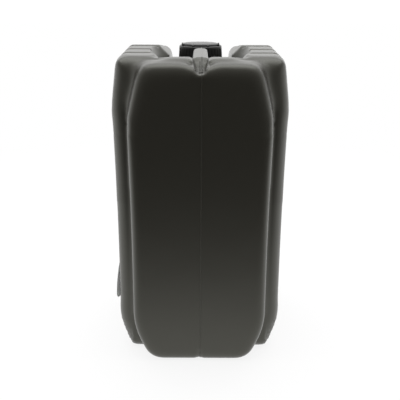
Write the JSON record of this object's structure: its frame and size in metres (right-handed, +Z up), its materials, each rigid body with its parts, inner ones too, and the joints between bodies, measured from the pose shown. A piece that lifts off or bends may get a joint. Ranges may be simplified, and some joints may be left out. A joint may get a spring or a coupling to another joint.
{
  "type": "motor oil jerrycan",
  "caption": "Blow-moulded twenty litre jerrycan for motor oil with grooved stacking shoulders, a central handle over a hand well, and a screw cap",
  "frame": {"origin": "the middle of the footprint, on the floor", "axes": "+Z up, +Y from the handle's root towards the neck, +X across the width"},
  "size_m": [0.2308, 0.288, 0.413],
  "materials": {
    "blown_polyethylene": "blow-moulded black high-density polyethylene, satin",
    "moulded_cap": "injection-moulded black polypropylene",
    "liner_foam": "white expanded polyethylene foam",
    "label_film": "blank grey self-adhesive film"
  },
  "bodies": {
    "can": {"canister_body": "blown_polyethylene", "filler_neck": "blown_polyethylene", "tamper_ring": "moulded_cap", "side_label": "label_film"},
    "liner": {"cap_liner": "liner_foam"},
    "cap": {"screw_cap": "moulded_cap"}
  },
  "joints": [
    {"name": "cap_rise", "type": "slide", "parent": "can", "child": "liner", "axis": [0, 0, 1], "range_m": [0, 0.018]},
    {"name": "cap_turn", "type": "hinge", "parent": "liner", "child": "cap", "pos_m": [0, 0.096, 0.395], "axis": [0, 0, 1], "range_deg": [0, 1090]}
  ],
  "couplings": [
    {"joint": "cap_turn", "follows": "cap_rise", "rad_per_m": 1047.2}
  ]
}
